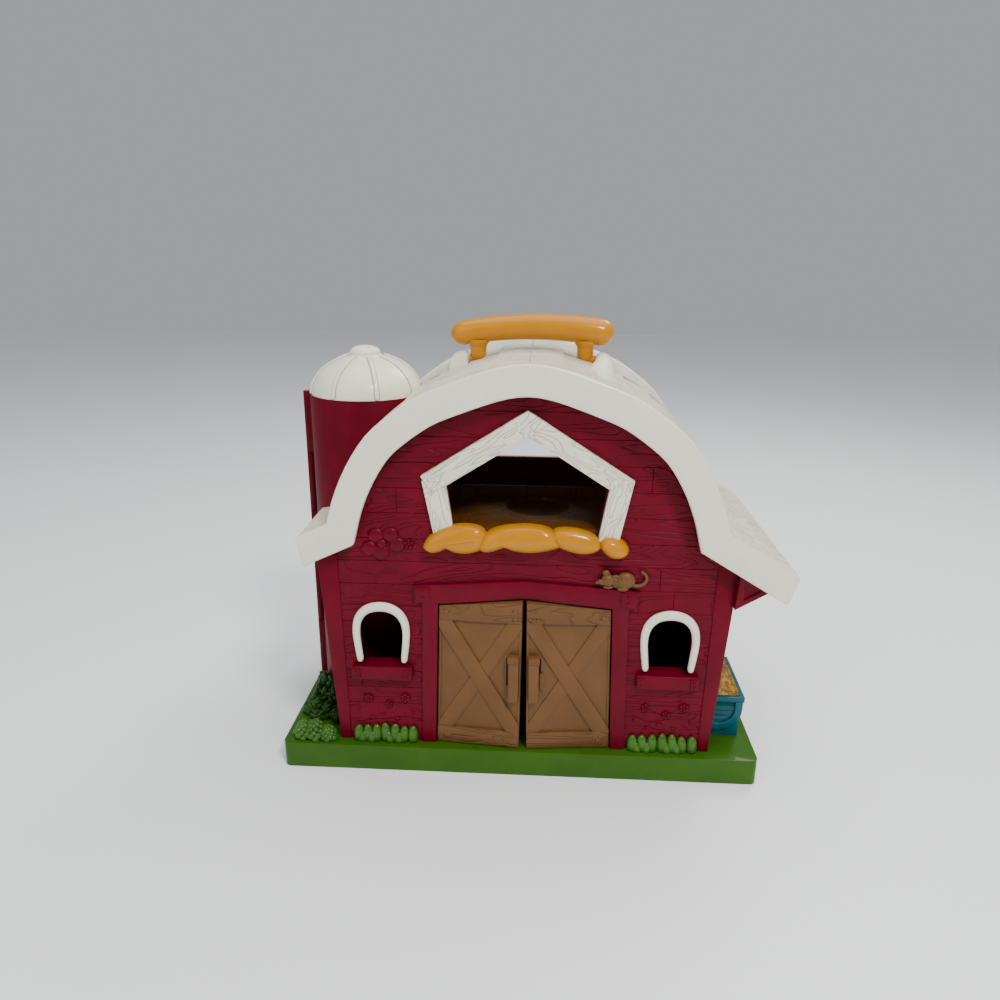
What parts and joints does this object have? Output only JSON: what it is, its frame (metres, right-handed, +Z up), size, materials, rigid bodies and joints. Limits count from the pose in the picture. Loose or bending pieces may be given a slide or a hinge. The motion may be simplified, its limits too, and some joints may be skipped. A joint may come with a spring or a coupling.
{
  "type": "toy barn",
  "caption": "Toy barn carry case with swinging double doors, silo, shingled gambrel roof, feed trough and a folding handle; it opens on a tall hinge beside the silo.",
  "frame": {"origin": "middle of the whole part's footprint, on the table under the base", "axes": "+X to the right seen from the doors, along the width; +Y from the doors to the back, the shortest way; +Z up"},
  "size_m": [0.3421, 0.188, 0.3089],
  "materials": {
    "base_green": "satin moulded green",
    "crimson": "satin moulded dark red with engraved planks",
    "ivory": "semi gloss off-white",
    "amber": "semi gloss amber",
    "brown": "satin brown with wood grain",
    "leaf_green": "satin leaf green",
    "teal": "semi gloss teal",
    "steel": "zinc plated"
  },
  "bodies": {
    "front_half": {"base_front": "base_green", "base_plate_front": "base_green", "screws_front": "steel", "wall_front": "crimson", "door_surround": "crimson", "window_left": "ivory", "window_right": "ivory", "window_sills": "crimson", "flowers": "crimson", "side_left_front": "crimson", "side_right_front": "crimson", "gable_frame": "ivory", "hay_sill": "amber", "mouse": "brown", "roof_front": "ivory", "barge_front": "ivory", "boss_right": "ivory", "awning_bracket": "crimson", "loft_deck": "brown", "silo_front": "crimson", "silo_dome": "ivory", "ivy": "leaf_green", "bush": "leaf_green", "grass_left": "leaf_green", "grass_right": "leaf_green", "trough": "teal", "trough_hay": "amber", "hinge_pin": "steel"},
    "rear_half": {"base_rear": "base_green", "base_plate_rear": "base_green", "screws_rear": "steel", "wall_rear": "crimson", "side_left_rear": "crimson", "side_right_rear": "crimson", "rear_frame": "ivory", "roof_rear": "ivory", "barge_rear": "ivory", "boss_left": "ivory", "silo_rear": "crimson", "catch": "crimson"},
    "left_door": {"door_left": "brown", "pull_left": "brown"},
    "right_door": {"door_right": "brown", "pull_right": "brown"},
    "carry_handle": {"handle": "amber"}
  },
  "joints": [
    {"name": "barn_open", "type": "hinge", "parent": "front_half", "child": "rear_half", "pos_m": [-0.16435, 0, 0.14], "axis": [0, 0, 1], "range_deg": [0, 100]},
    {"name": "left_door_swing", "type": "hinge", "parent": "front_half", "child": "left_door", "pos_m": [-0.05575, -0.0797, 0.07], "axis": [0, 0, -1], "range_deg": [-5.5, 95]},
    {"name": "right_door_swing", "type": "hinge", "parent": "front_half", "child": "right_door", "pos_m": [0.05125, -0.0797, 0.07], "axis": [0, 0, 1], "range_deg": [-5.5, 95]},
    {"name": "handle_fold", "type": "hinge", "parent": "front_half", "child": "carry_handle", "pos_m": [-0.00225, 0, 0.278], "axis": [1, 0, 0], "range_deg": [-30, 30]}
  ]
}
